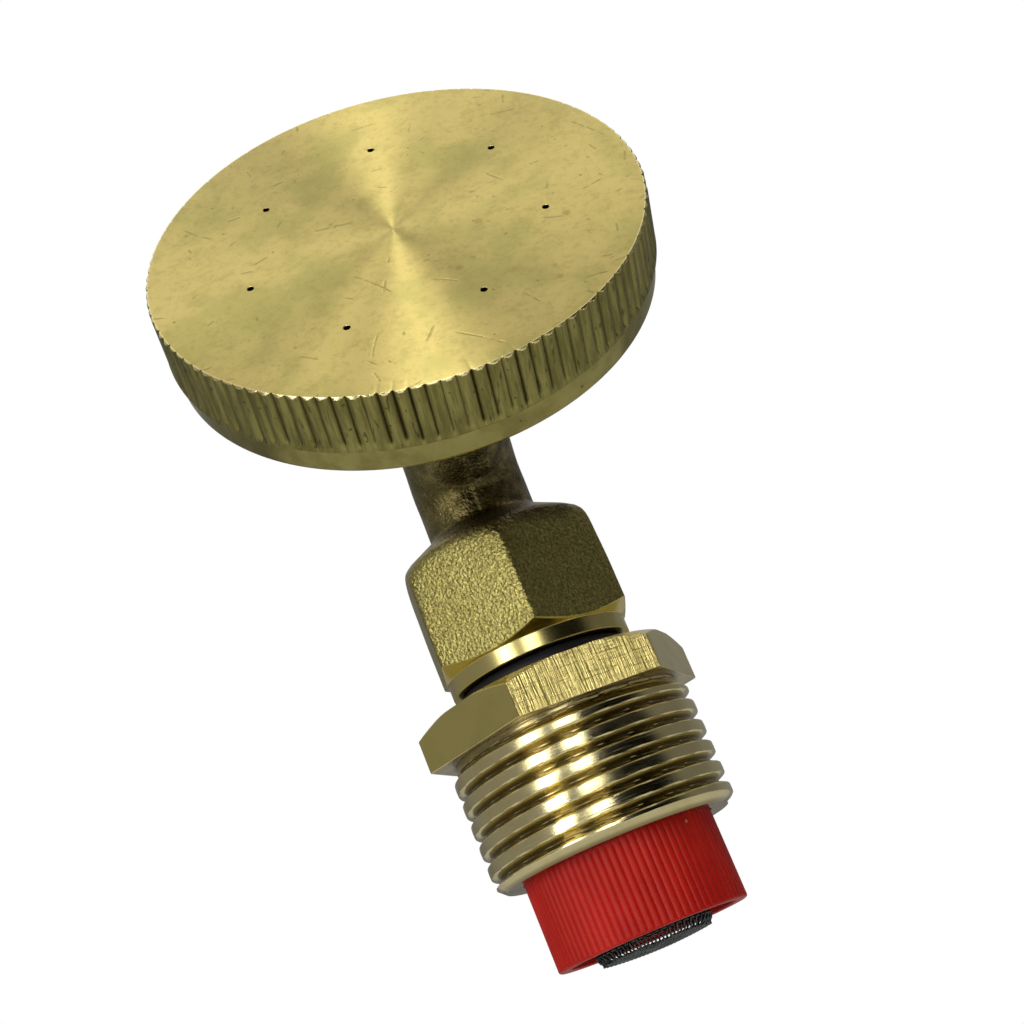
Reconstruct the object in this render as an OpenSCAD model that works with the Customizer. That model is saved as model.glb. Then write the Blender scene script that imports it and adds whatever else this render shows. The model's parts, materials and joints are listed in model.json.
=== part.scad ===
// Automatic air vent with an angled swivelling head, a screw-off vent cap
// and a check valve in its threaded inlet. All sizes are in millimetres.
// The origin is the centre of the inlet thread at the underside of the hex
// flange. +Z runs up the inlet axis, and the head leans towards -Y.

/* [Inlet adapter] */
// Outside diameter of the G 1/2 pipe thread
thread_d = 20.955; // [20.905:0.01:21.005]
// Pitch of the pipe thread, 14 threads per inch
thread_pitch = 1.814; // [1.8:0.002:1.83]
// Length of the threaded shank below the hex flange
thread_l = 11; // [10.6:0.1:11.4]
// Size across the flats of the hex flange
flange_af = 21; // [21:0.1:22]
// Height of the hex flange
flange_h = 3.65; // [3.5:0.05:3.8]
// Turn of the hex flange's first corner from +X, in degrees
flange_turn = 9.5; // [0:0.5:59]

/* [Elbow body] */
// Size across the flats of the forged hex
hex_af = 16.2; // [15.9:0.1:16.4]
// Radius of the turned collar under the forged hex
collar_r = 7.9; // [7.7:0.05:7.95]
// Height of the collar's lower face above the seating face
collar_z = 5.2; // [5:0.1:5.4]
// Outside diameter of the neck
neck_d = 9.5; // [9:0.1:10]
// Diameter of the air passage
bore_d = 5; // [4:0.1:5.4]
// Height of the point where the inlet axis and the head axis meet
bend_z = 23.7; // [23.2:0.1:24.5]
// Angle between the inlet axis and the head axis
bend_angle = 60; // [50:1:65]
// Radius of the bend's centre line
bend_r = 6; // [5.6:0.1:6.4]

/* [Vent head] */
// Radius over the crests of the cap's knurl
cap_r = 19.7; // [19.5:0.1:20]
// Height of the knurled cap
cap_h = 5.2; // [5.2:0.1:5.6]
// Distance from the bend point to the face of the cap, along the head axis
face_s = 26.1; // [25.6:0.1:27]
// Thickness of the whole head disc
head_h = 7.45; // [7.3:0.05:7.8]
// Number of teeth round the knurl
knurl_n = 108; // [90:1:120]
// Depth of the knurl's grooves
knurl_depth = 0.45; // [0.3:0.05:0.5]
// Number of vent holes in the cap's face
hole_n = 7; // [3:1:9]
// Diameter of each vent hole
hole_d = 0.7; // [0.5:0.1:1]
// Radius of the circle that the vent holes lie on
hole_pcd_r = 11.9; // [10:0.1:13]
// Turn of the first vent hole from +X, in degrees
hole_turn = 82.5; // [0:0.5:90]
// Number of hygroscopic fibre discs
disc_n = 5; // [5]
// Travel of the vent plunger from open to shut
plunger_travel = 0.7; // [0.5:0.05:0.7]

/* [Check valve] */
// Outside radius of the plastic cage
cage_r = 8.17; // [8:0.01:8.18]
// How far the cage stands out below the thread
cage_out = 7.4; // [7.2:0.1:7.6]
// Number of fine ribs round the cage
rib_n = 90; // [60:1:110]
// Outside radius of the strainer's mesh cup
mesh_r = 5; // [4.6:0.1:5.4]
// How far the mesh cup stands out below the cage
mesh_out = 1.15; // [0.8:0.05:1.4]
// Number of turns in the check spring
spring_turns = 5; // [4:1:6]

/* [Hidden] */
$fn = 96;
e = 0.01; // overlap of joined shapes
cut = 1;  // how far a cutting shape runs past a face
rub = 0.05; // radial clearance of a running fit

// Pipe thread
thread_r = thread_d / 2;
thread_depth = 0.6403 * thread_pitch;
root_r = thread_r - thread_depth;
crest_flat = 0.3;
thread_start = 0.45;
thread_turns = floor((thread_l - thread_start) / thread_pitch);
end_chamfer = 0.5;

// Hex flange: its top bevel starts just outside the flats
flange_corner_r = flange_af / 2 / cos(30);
flange_bevel_r = flange_af / 2 + 0.15;

// Adapter bores, from the top down
swivel_r = 5.5;
shoulder_z = -2;
mid_bore_r = 7.3;
mouth_z = -6.5;
mouth_r = 8.2;

// Spigot of the elbow body and what it carries
spigot_end = -4.2;
washer_t = 0.45;
clip_t = 0.6;
clip_top = shoulder_z - washer_t - 2 * rub;
clip_groove_r = 4.6;
clip_r = 6.7;
oring_w = 1.3;
oring_z = 1;

// Forged hex and its shoulder
hex_r = hex_af / 2 / cos(30);
rim_r = hex_r + 0.06;
bevel_z = collar_z + 1.35;
bevel_angle = 30;
shoulder_round = 3;
shoulder_slope = 29;
neck_foot_z = 18.45;

// Head disc: distances along the head axis from the bend point
neck_r = neck_d / 2;
bore_r = bore_d / 2;
bend_t = bend_r * tan(bend_angle / 2);
skirt_s = face_s - cap_h;
band_s = face_s - head_h;
band_r = cap_r - 0.35;
band_gap = 0.05;
floor_t = 1.6;
floor_s = band_s + floor_t;
face_t = 1.2;
lid_s = face_s - face_t;
upstand_r = 17.5;
chamber_r = 15.5;
gasket_t = 0.9;
gasket_inset = 0.2;
boss_r = 3;
neck_fillet = 1.5;
edge_bevel = 0.35;

// Vent valve, stacked down from the cap
inner_r = chamber_r - 0.3;
plate_gap = 0.15;
plate_t = 0.4;
plate_hole_r = 1.2;
plate_pcd_r = 9;
disc_bore_r = 2;
disc_t = 0.28;
stack_s = lid_s - plate_gap - plate_t;
plunger_t = 0.5;
plunger_hole_r = 1.5;
plunger_pcd_r = 10.5;
plunger_s = stack_s - disc_n * disc_t - plunger_t;
hub_r = 3.6;
hub_h = 0.5;
seal_r = 2.5;
seal_proud = 0.1;
seal_s = plunger_s - hub_h - seal_proud;
seat_top = seal_s - plunger_travel;
seat_foot = band_s + 0.15;
seat_r = 3.5;
seat_flange_t = 0.3;
nozzle_foot_r = 2.6;
nozzle_lip = 0.35;
orifice_r = 1.1;
spring_wire = 0.5;
plunger_coils = 3;
plunger_coil_low_r = 7;
plunger_coil_top_r = 4.6;

// Cage: heights along the inlet axis
cage_end = -thread_l - cage_out;
cage_top = -4.6;
rib_top = -thread_l - 0.2;
shank_r = 7.2;
cage_bore_r = 5.2;
guide_r = 5.6;
guide_z = -7.4;
guide_t = 1.2;
recess_z = cage_end + 2.8;
recess_r = 7.15;
check_seat_z = recess_z + 1.4;
check_orifice_r = 2.6;
guide_hole_r = 1.2;
guide_pcd_r = 3.7;
check_coil_r = 2.1;
cage_plain_end = mouth_z - 0.1;
cage_groove_z = -5.6;
cage_groove_w = 1.2;
cage_groove_depth = 0.9;
cage_oring_w = 0.96;
cage_oring_r = shank_r - 0.4;
rib_depth = 0.12;

// Poppet
poppet_r = 4.4;
poppet_t = 1;
poppet_seal_t = 0.8;
poppet_seal_lap = 0.6;
poppet_z = check_seat_z + poppet_seal_t;
stem_r = 1.2;
stem_top = -6;

// Strainer
mesh_wall = 0.35;
mesh_end = cage_end - mesh_out;
strainer_ring_t = 0.6;

// A closed ring of rectangular section standing on z
module ring(outer, inner, z, h) {
    translate([0, 0, z]) difference() {
        cylinder(r = outer, h = h);
        translate([0, 0, -cut]) cylinder(r = inner, h = h + 2 * cut);
    }
}

// An O-ring of round section, centred on height z
module oring(mean_r, section, z) {
    translate([0, 0, z]) rotate_extrude() translate([mean_r, 0]) circle(d = section, $fn = 48);
}

// Places its children in the head's frame, with +Z along the head axis
module on_head() {
    translate([0, 0, bend_z]) rotate([bend_angle, 0, 0]) children();
}

// Outside of the neck: it follows the inlet axis, the bend and the head axis
module neck() {
    foot = neck_foot_z - 1;
    bend_start = bend_z - bend_t;
    translate([0, 0, foot]) cylinder(r = neck_r, h = bend_start + e - foot);
    translate([0, -bend_r, bend_start]) rotate([90, 0, 90])
        rotate_extrude(angle = bend_angle) translate([bend_r, 0]) circle(r = neck_r + 2 * e);
    on_head() translate([0, 0, bend_t - e]) cylinder(r = neck_r, h = band_s + 2 * e - bend_t);
}

// Points of a spring's wire: radius and height run evenly from first to last
function coil_point(t, turns, r1, r2, z1, z2) =
    [(r1 + (r2 - r1) * t) * cos(360 * turns * t),
     (r1 + (r2 - r1) * t) * sin(360 * turns * t), z1 + (z2 - z1) * t];

// A coil spring of round wire, swept as one closed skin
module coil(turns, r1, r2, z1, z2, wire) {
    sides = 8;
    steps = turns * 24;
    points = [for (i = [0:steps]) let (t = i / steps, c = coil_point(t, turns, r1, r2, z1, z2),
        a = 360 * turns * t) for (k = [0:sides - 1]) let (b = 360 * k / sides)
        c + wire / 2 * [cos(b) * cos(a), cos(b) * sin(a), sin(b)]];
    walls = [for (i = [0:steps - 1], k = [0:sides - 1]) let (n = (k + 1) % sides)
        [i * sides + k, (i + 1) * sides + k, (i + 1) * sides + n, i * sides + n]];
    first = [for (k = [0:sides - 1]) k];
    last = [for (k = [sides - 1:-1:0]) steps * sides + k];
    polyhedron(points, concat([first], walls, [last]));
}

// Hex flange with its top corners bevelled
module hex_flange() {
    outer = flange_corner_r + cut;
    intersection() {
        rotate(flange_turn) cylinder(r = flange_corner_r, h = flange_h, $fn = 6);
        rotate_extrude() polygon([[0, 0], [outer, 0],
            [outer, flange_h - (outer - flange_bevel_r) * tan(bevel_angle)],
            [flange_bevel_r, flange_h], [0, flange_h]]);
    }
}

// Outline of the thread: one groove for each turn, with flat crests
module thread_profile() {
    grooves = [for (i = [0:thread_turns - 1]) let (z = -thread_start - i * thread_pitch)
        each [[thread_r, z], [root_r, z - (thread_pitch - crest_flat) / 2],
              [thread_r, z - thread_pitch + crest_flat]]];
    polygon(concat([[0, e], [thread_r, e]], grooves,
        [[thread_r, end_chamfer - thread_l], [thread_r - end_chamfer, -thread_l],
         [0, -thread_l]]));
}

module male_adapter() {
    color("goldenrod") difference() {
        union() {
            hex_flange();
            rotate_extrude() thread_profile();
        }
        translate([0, 0, -thread_l - cut]) cylinder(r = mouth_r, h = thread_l + cut + mouth_z);
        translate([0, 0, mouth_z - e]) cylinder(r = mid_bore_r, h = shoulder_z - mouth_z + e);
        translate([0, 0, shoulder_z - e]) cylinder(r = swivel_r + rub, h = flange_h + cut - shoulder_z);
    }
}

module swivel_oring() {
    section = collar_z - flange_h - 4 * e;
    color("black") oring((swivel_r + collar_r) / 2, section, (collar_z + flange_h) / 2);
}

// Revolved outline of the forged hex, its collar and its sloped shoulder
module hex_profile() {
    round_x = rim_r - shoulder_round;
    rim_x = round_x + shoulder_round * sin(shoulder_slope);
    rise = (rim_x - neck_r) * tan(shoulder_slope);
    round_z = neck_foot_z - rise - shoulder_round * cos(shoulder_slope);
    polygon([[0, collar_z], [collar_r, collar_z], [collar_r, bevel_z],
        [rim_r, bevel_z + (rim_r - collar_r) * tan(bevel_angle)],
        [rim_r, round_z], [round_x, round_z], [rim_x, neck_foot_z - rise],
        [bore_r, neck_foot_z + (neck_r - bore_r) * tan(shoulder_slope)], [0, neck_foot_z]]);
    translate([round_x, round_z]) circle(r = shoulder_round);
}

// Disc of the forging: plain band, threaded upstand and the fillet to the neck
module dish() {
    translate([0, 0, band_s]) cylinder(r1 = band_r - edge_bevel, r2 = band_r, h = edge_bevel);
    translate([0, 0, band_s + edge_bevel])
        cylinder(r = band_r, h = skirt_s - band_gap - band_s - edge_bevel);
    translate([0, 0, band_s]) cylinder(r = upstand_r, h = lid_s - gasket_t - band_s);
    rotate_extrude() difference() {
        translate([neck_r - 0.5, band_s - neck_fillet]) square([neck_fillet + 0.5, neck_fillet + e]);
        translate([neck_r + neck_fillet, band_s - neck_fillet]) circle(r = neck_fillet);
    }
}

module elbow_body() {
    color("darkkhaki") difference() {
        union() {
            intersection() {
                rotate(30) cylinder(r = hex_r, h = neck_foot_z + 1, $fn = 6);
                rotate_extrude() hex_profile();
            }
            translate([0, 0, spigot_end]) cylinder(r = swivel_r, h = collar_z - spigot_end + e);
            neck();
            on_head() dish();
        }
        translate([0, 0, spigot_end - cut]) cylinder(r = bore_r, h = bend_z - spigot_end + cut);
        on_head() {
            sphere(r = bore_r + 2 * e);
            cylinder(r = bore_r, h = seat_foot + e);
            translate([0, 0, seat_foot]) cylinder(r = seat_r, h = floor_t);
            translate([0, 0, floor_s]) cylinder(r = chamber_r, h = cap_h);
        }
        ring(swivel_r + cut, swivel_r - oring_w, oring_z - oring_w / 2 - rub, oring_w + 2 * rub);
        ring(swivel_r + cut, clip_groove_r, clip_top - clip_t, clip_t);
    }
}

module spigot_oring() {
    color("black") oring(swivel_r - oring_w / 2, oring_w - 2 * e, oring_z);
}

module thrust_washer() {
    color("white") ring(clip_r, swivel_r + rub, clip_top + rub, washer_t);
}

// Snap ring with a gap, so that it springs over the spigot's end
module spigot_clip() {
    color("silver") difference() {
        ring(clip_r - 0.2, clip_groove_r, clip_top - clip_t, clip_t);
        translate([0, -1, clip_top - clip_t - cut]) cube([clip_r + cut, 2, clip_t + 2 * cut]);
    }
}

module valve_seat() {
    shoulder = floor_s + seat_flange_t;
    color("gold") on_head() difference() {
        union() {
            translate([0, 0, seat_foot]) cylinder(r = seat_r, h = shoulder - seat_foot);
            translate([0, 0, shoulder - e])
                cylinder(r1 = nozzle_foot_r, r2 = orifice_r + nozzle_lip, h = seat_top - shoulder + e);
        }
        translate([0, 0, seat_foot - cut]) cylinder(r = orifice_r, h = head_h);
    }
}

module plunger_spring() {
    end_gap = spring_wire / 2 + e;
    color("silver") on_head() coil(plunger_coils, plunger_coil_low_r, plunger_coil_top_r,
        floor_s + end_gap, plunger_s - end_gap, spring_wire);
}

module fibre_disc(i) {
    s = stack_s - disc_t * i;
    color("tan") on_head() ring(inner_r, disc_bore_r, s, disc_t);
}

module cap_gasket() {
    color("dimgray") on_head() ring(upstand_r - gasket_inset, chamber_r + gasket_inset,
        lid_s - gasket_t + 2 * e, gasket_t - 4 * e);
}

module pressure_plate() {
    color("gold") on_head() difference() {
        translate([0, 0, stack_s]) cylinder(r = inner_r, h = plate_t - 2 * e);
        for (a = [15:30:345]) rotate(a) translate([plate_pcd_r, 0, stack_s - cut])
            cylinder(r = plate_hole_r, h = plate_t + 2 * cut);
    }
}

// Outline of the knurled rim, with a flat crest and a sharp groove per tooth
module knurl_outline() {
    step = 360 / knurl_n;
    crest = 0.35 * step;
    polygon([for (i = [0:knurl_n - 1]) let (a = i * step)
        each [cap_r * [cos(a), sin(a)], cap_r * [cos(a + crest), sin(a + crest)],
              (cap_r - knurl_depth) * [cos(a + (step + crest) / 2), sin(a + (step + crest) / 2)]]]);
}

module vent_cap() {
    color("gold") on_head() difference() {
        intersection() {
            translate([0, 0, skirt_s]) linear_extrude(cap_h) knurl_outline();
            rotate_extrude() polygon([[0, skirt_s], [cap_r + 1, skirt_s],
                [cap_r + 1, face_s - 1 - edge_bevel], [cap_r - edge_bevel, face_s], [0, face_s]]);
        }
        difference() {
            translate([0, 0, skirt_s - cut]) cylinder(r = upstand_r + rub, h = cap_h - face_t + cut);
            translate([0, 0, lid_s - plate_gap]) cylinder(r = boss_r, h = cut);
        }
        for (i = [0:hole_n - 1]) rotate(hole_turn + 360 / hole_n * i)
            translate([hole_pcd_r, 0, lid_s - cut]) cylinder(d = hole_d, h = face_t + 2 * cut, $fn = 24);
    }
}

module vent_plunger() {
    color("gold") on_head() difference() {
        union() {
            translate([0, 0, plunger_s]) cylinder(r = inner_r, h = plunger_t);
            translate([0, 0, plunger_s - hub_h]) cylinder(r = hub_r, h = hub_h + e);
        }
        translate([0, 0, plunger_s - hub_h - cut]) cylinder(r = seal_r, h = hub_h + cut);
        for (a = [0:60:300]) rotate(a) translate([plunger_pcd_r, 0, plunger_s - cut])
            cylinder(r = plunger_hole_r, h = plunger_t + 2 * cut);
    }
}

module plunger_seal() {
    color("black") on_head() translate([0, 0, seal_s]) cylinder(r = seal_r, h = plunger_s - seal_s);
}

// Plastic cage, with its ribs on the length that stands out of the adapter
module check_cage() {
    step = 360 / rib_n;
    color("firebrick") difference() {
        union() {
            translate([0, 0, cage_end]) linear_extrude(rib_top - cage_end) polygon(
                [for (i = [0:rib_n - 1], k = [0:1])
                 (cage_r - k * rib_depth) * [cos((i + k / 2) * step), sin((i + k / 2) * step)]]);
            translate([0, 0, rib_top - e]) cylinder(r = cage_r + e, h = cage_plain_end - rib_top);
            translate([0, 0, cage_plain_end - 2 * e])
                cylinder(r = shank_r, h = cage_top - cage_plain_end + 2 * e);
        }
        translate([0, 0, cage_end - cut]) cylinder(r = recess_r, h = recess_z - cage_end + cut);
        translate([0, 0, recess_z - cut]) cylinder(r = check_orifice_r, h = 3 * cut);
        translate([0, 0, check_seat_z]) cylinder(r = cage_bore_r, h = guide_z - check_seat_z + e);
        translate([0, 0, guide_z]) cylinder(r = guide_r, h = cage_top - guide_z + cut);
        ring(shank_r + cut, shank_r - cage_groove_depth, cage_groove_z - cage_groove_w / 2,
            cage_groove_w);
    }
}

module cage_oring() {
    color("black") oring(cage_oring_r, cage_oring_w, cage_groove_z);
}

// Spider that guides the poppet's stem and holds the spring down
module spring_guide() {
    color("ivory") difference() {
        translate([0, 0, guide_z]) cylinder(r = guide_r, h = guide_t);
        translate([0, 0, guide_z - cut]) cylinder(r = stem_r + rub, h = guide_t + 2 * cut);
        for (a = [0:60:300]) rotate(a) translate([guide_pcd_r, 0, guide_z - cut])
            cylinder(r = guide_hole_r, h = guide_t + 2 * cut);
    }
}

module check_spring() {
    end_gap = spring_wire / 2 + e;
    color("silver") coil(spring_turns, check_coil_r, check_coil_r, poppet_z + poppet_t + end_gap,
        guide_z - end_gap, spring_wire);
}

module check_poppet() {
    color("ivory") {
        translate([0, 0, poppet_z]) cylinder(r = poppet_r, h = poppet_t);
        translate([0, 0, poppet_z + poppet_t - e])
            cylinder(r = stem_r, h = stem_top - poppet_z - poppet_t + e);
    }
}

module poppet_seal() {
    color("black") ring(poppet_r - 0.3, check_orifice_r - poppet_seal_lap, check_seat_z, poppet_seal_t);
}

// Cup of woven wire, with a flat flange that the ring holds
module strainer_mesh() {
    color("dimgray") difference() {
        union() {
            translate([0, 0, mesh_end]) cylinder(r = mesh_r, h = recess_z - mesh_end);
            translate([0, 0, recess_z - mesh_wall]) cylinder(r = recess_r - 0.2, h = mesh_wall);
        }
        translate([0, 0, mesh_end + mesh_wall]) cylinder(r = mesh_r - mesh_wall, h = recess_z - mesh_end);
    }
}

module strainer_ring() {
    color("silver") ring(recess_r, mesh_r + 2 * rub, recess_z - mesh_wall - strainer_ring_t,
        strainer_ring_t);
}

male_adapter();
swivel_oring();
check_cage();
cage_oring();
spring_guide();
check_spring();
strainer_mesh();
strainer_ring();
elbow_body();
spigot_oring();
thrust_washer();
spigot_clip();
valve_seat();
plunger_spring();
fibre_disc(1);  // fibre_disc_1
fibre_disc(2);  // fibre_disc_2
fibre_disc(3);  // fibre_disc_3
fibre_disc(4);  // fibre_disc_4
fibre_disc(5);  // fibre_disc_5
cap_gasket();
pressure_plate();
vent_cap();
vent_plunger();
plunger_seal();
check_poppet();
poppet_seal();
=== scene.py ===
import json
import math

import bpy
import numpy as np
from mathutils import Matrix, Vector


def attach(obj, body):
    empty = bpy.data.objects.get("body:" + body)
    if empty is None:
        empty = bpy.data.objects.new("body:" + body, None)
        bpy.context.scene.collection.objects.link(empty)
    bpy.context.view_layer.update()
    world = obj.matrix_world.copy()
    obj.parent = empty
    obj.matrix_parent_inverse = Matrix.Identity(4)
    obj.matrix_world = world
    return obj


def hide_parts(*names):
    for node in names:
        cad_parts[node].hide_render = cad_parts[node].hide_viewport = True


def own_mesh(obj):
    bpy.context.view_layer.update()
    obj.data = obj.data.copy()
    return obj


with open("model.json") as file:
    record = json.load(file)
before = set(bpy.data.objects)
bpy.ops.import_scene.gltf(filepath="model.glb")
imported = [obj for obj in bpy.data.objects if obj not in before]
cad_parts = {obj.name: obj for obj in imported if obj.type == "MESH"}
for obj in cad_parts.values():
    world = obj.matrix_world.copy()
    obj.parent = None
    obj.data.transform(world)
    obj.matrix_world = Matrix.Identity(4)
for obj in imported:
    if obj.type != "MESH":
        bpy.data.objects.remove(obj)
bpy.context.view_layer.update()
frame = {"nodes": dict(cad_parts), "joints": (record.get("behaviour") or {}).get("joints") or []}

MM = 0.001
UP = Matrix.Identity(4)

# ------------------------------------------------------------------ the frame
JOINT = {joint["name"]: joint for joint in frame["joints"]}
AXIS = Vector(JOINT["cap_turn"]["axis"]).normalized()
FACE_CENTRE = Vector(JOINT["cap_turn"]["pos_m"])
LEAN = math.acos(AXIS.z)
FACE_S = FACE_CENTRE.y / AXIS.y / MM
BEND_POINT = FACE_CENTRE - AXIS * FACE_S * MM
HEAD = Matrix.Translation(BEND_POINT) @ Matrix.Rotation(LEAN, 4, "X")

# ------------------------------------------------------------------ sizes, mm
# Inlet adapter
THREAD_R = 10.4775
PITCH = 1.814
ROOT_R = THREAD_R - 0.8
THREAD_L = 11.0
FLANGE_AF = 21.0
FLANGE_H = 3.65
FLANGE_TURN = math.radians(9.5)
FLANGE_REACH = FLANGE_AF / 2 / math.cos(math.pi / 6)
FLANGE_BEVEL_R = FLANGE_AF / 2 + 0.15
SWIVEL_R = 5.5

# Elbow body
HEX_AF = 16.2
HEX_TURN = math.radians(-90)
RIM_R = HEX_AF / 2 / math.cos(math.pi / 6) + 0.06
COLLAR_R = 7.9
COLLAR_Z = 5.2
BEVEL_Z = COLLAR_Z + 1.35
BEVEL = math.radians(30)
NECK_R = 4.75
FOOT_Z = 18.45
SHOULDER_SLOPE = math.radians(29)
SHOULDER_ROUND = 3.0
BORE_R = 2.5
SPIGOT_END = -4.2
BEND_R = 6.0
BEND_Z = BEND_POINT.z / MM
BEND_T = BEND_R * math.tan(LEAN / 2)
BEND_START = BEND_Z - BEND_T

# Vent head, as distances from the bend point along the head axis
CAP_R = 19.7
SKIRT_S = FACE_S - 5.2
BAND_S = FACE_S - 7.45
BAND_R = CAP_R - 0.35
LID_S = FACE_S - 1.2
FLOOR_S = BAND_S + 1.6
UPSTAND_R = 17.5
CAP_PITCH = 1.5
CAP_THREAD_DEPTH = 0.5
CHAMBER_R = 15.5
TEETH = 108
TOOTH_DEPTH = 0.3
HOLES = 7
HOLE_TURN = math.radians(82.5)
HOLE_CIRCLE_R = 11.9
HOLE_R = 0.27
SINK_R = 0.31
CHAMFER = 0.17

# Check valve cage and strainer
CAGE_R = 8.17
CAGE_END = -18.4
CAGE_TOP = -4.6
RIBS = 81
RECESS_R = 7.15
RECESS_Z = CAGE_END + 2.8
MESH_R = 5.0
MESH_END = CAGE_END - 1.15


# ------------------------------------------------------------------ camera
def make_camera():
    """The camera, given by its turn, its height, its roll and its distance from a point near the object."""
    turn, rise, roll = (math.radians(a) for a in (-7.0, -16.5, 22.88))
    distance, aside, above = 151.1, -4.5, 17.65
    back = Vector((math.sin(turn) * math.cos(rise), -math.cos(turn) * math.cos(rise), math.sin(rise)))
    level = Vector((math.cos(turn), math.sin(turn), 0))
    upright = back.cross(level)
    right = level * math.cos(roll) - upright * math.sin(roll)
    up = level * math.sin(roll) + upright * math.cos(roll)
    place = (right * aside + up * above + back * distance) * MM
    data = bpy.data.cameras.new("camera")
    data.lens = 64.11
    data.sensor_width = 36
    data.clip_start, data.clip_end = 0.005, 10
    camera = bpy.data.objects.new("camera", data)
    camera.matrix_world = Matrix(
        ((right.x, up.x, back.x, place.x), (right.y, up.y, back.y, place.y),
         (right.z, up.z, back.z, place.z), (0, 0, 0, 1)))
    bpy.context.scene.collection.objects.link(camera)
    bpy.context.scene.camera = camera


# ------------------------------------------------------------------ mesh tools
def place_mesh(name, points, faces, matrix, crease):
    """An object of that name, from points in mm and faces, smooth but for edges sharper than the crease."""
    mesh = bpy.data.meshes.new(name)
    mesh.from_pydata((np.asarray(points) * MM).tolist(), [], faces)
    mesh.polygons.foreach_set("use_smooth", [True] * len(mesh.polygons))
    mesh.set_sharp_from_angle(angle=math.radians(crease))
    piece = bpy.data.objects.new(name, mesh)
    piece.matrix_world = matrix
    bpy.context.scene.collection.objects.link(piece)
    return piece


def ring_faces(rows, columns, loop, first=0):
    """Faces over rows of rings. A loop's last row joins its first, and other skins get flat ends."""
    ring = np.arange(rows * columns).reshape(rows, columns) + first
    low, high = (ring, np.roll(ring, -1, 0)) if loop else (ring[:-1], ring[1:])
    quads = np.stack((low, np.roll(low, -1, 1), np.roll(high, -1, 1), high), -1)
    faces = quads.reshape(-1, 4).tolist()
    return faces if loop else faces + [ring[0, ::-1].tolist(), ring[-1].tolist()]


def skin(name, rows, loop=True, matrix=UP, crease=35):
    """A closed piece over rows of rings, rows[row, column] being a point."""
    faces = ring_faces(rows.shape[0], rows.shape[1], loop)
    return place_mesh(name, rows.reshape(-1, 3), faces, matrix, crease)


def fillet(before, here, after, radius):
    """Points of the arc that rounds the corner at here."""
    into, out = before - here, after - here
    into, out = into / np.linalg.norm(into), out / np.linalg.norm(out)
    angle = math.acos(np.clip(into @ out, -1, 1))
    turn = math.pi - angle
    centre = here + (into + out) / np.linalg.norm(into + out) * radius / math.sin(angle / 2)
    start = here + into * radius / math.tan(angle / 2) - centre
    end = here + out * radius / math.tan(angle / 2) - centre
    steps = max(3, math.ceil(turn / math.radians(14)))
    return [centre + (math.sin((1 - k / steps) * turn) * start + math.sin(k / steps * turn) * end)
            / math.sin(turn) for k in range(steps + 1)]


def outline(corners, step, closed=True):
    """Points of an outline through corners (radius, height, rounding), no further apart than step(point)."""
    spots = [np.array(corner[:2], float) for corner in corners]
    points = []
    for i, corner in enumerate(corners):
        if corner[2] == 0:
            points.append(spots[i])
        else:
            points += fillet(spots[i - 1], spots[i], spots[(i + 1) % len(spots)], corner[2])
    dense = []
    for a, b in zip(points, points[1:] + points[:1] if closed else points[1:]):
        pieces = max(1, math.ceil(np.linalg.norm(b - a) / step((a + b) / 2)))
        dense += [a + (b - a) * k / pieces for k in range(pieces)]
    return np.array(dense if closed else dense + points[-1:])


def even_angles(count):
    return np.arange(count) * 2 * math.pi / count


def hex_angles(count, corner):
    """Angles round a ring, closer together near the six corners."""
    even = even_angles(count)
    return corner + even - 0.1 * np.sin(6 * even)


def hex_reach(angles, across, corner, sharpness):
    """Distance from the axis to a hexagon's sides, with its edges rounded a little."""
    sides = corner + math.pi / 6 + np.arange(3) * math.pi / 3
    return across / 2 * (np.abs(np.cos(angles[..., None] - sides)) ** sharpness).sum(-1) ** (-1 / sharpness)


def smaller(a, b, blend):
    """The smaller of two values, with a soft change from one to the other."""
    return -blend * np.logaddexp(-a / blend, -b / blend)


def ramp_up(value, low, high):
    """0 below low, 1 above high, with a smooth change between them."""
    t = np.clip((value - low) / (high - low), 0, 1)
    return t * t * (3 - 2 * t)


def spin(name, points, angles, shape=None, loop=True, matrix=UP, crease=35):
    """A turned piece: the outline goes round the axis, and shape(r, z, angle) gives each point's radius."""
    r, z, a = points[:, :1], points[:, 1:], angles[None, :]
    r = shape(r, z, a) if shape else r + 0 * a
    return skin(name, np.stack((r * np.cos(a), r * np.sin(a), z + 0 * a), -1), loop, matrix, crease)


def tube(path, radius, sides=6, closed=False):
    """Points and faces of a wire along a path; a closed path has no ends."""
    path = np.asarray(path, float)
    if closed:
        along = np.roll(path, -1, 0) - np.roll(path, 1, 0)
    else:
        along = np.gradient(path, axis=0)
    along /= np.linalg.norm(along, axis=1)[:, None]
    mean = np.abs(along).mean(0)
    helper = np.eye(3)[int(np.argmin(mean))]
    across = np.cross(along, helper)
    across /= np.linalg.norm(across, axis=1)[:, None]
    other = np.cross(along, across)
    a = even_angles(sides)[None, :, None]
    points = path[:, None] + radius * (np.cos(a) * across[:, None] + np.sin(a) * other[:, None])
    return points.reshape(-1, 3), ring_faces(len(path), sides, closed)


def wires(name, tubes, matrix=UP):
    """One piece from many wires."""
    points, faces = [], []
    for spots, quads in tubes:
        first = sum(len(p) for p in points)
        points.append(spots)
        faces += [[i + first for i in face] for face in quads]
    return place_mesh(name, np.concatenate(points), faces, matrix, 60)


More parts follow.
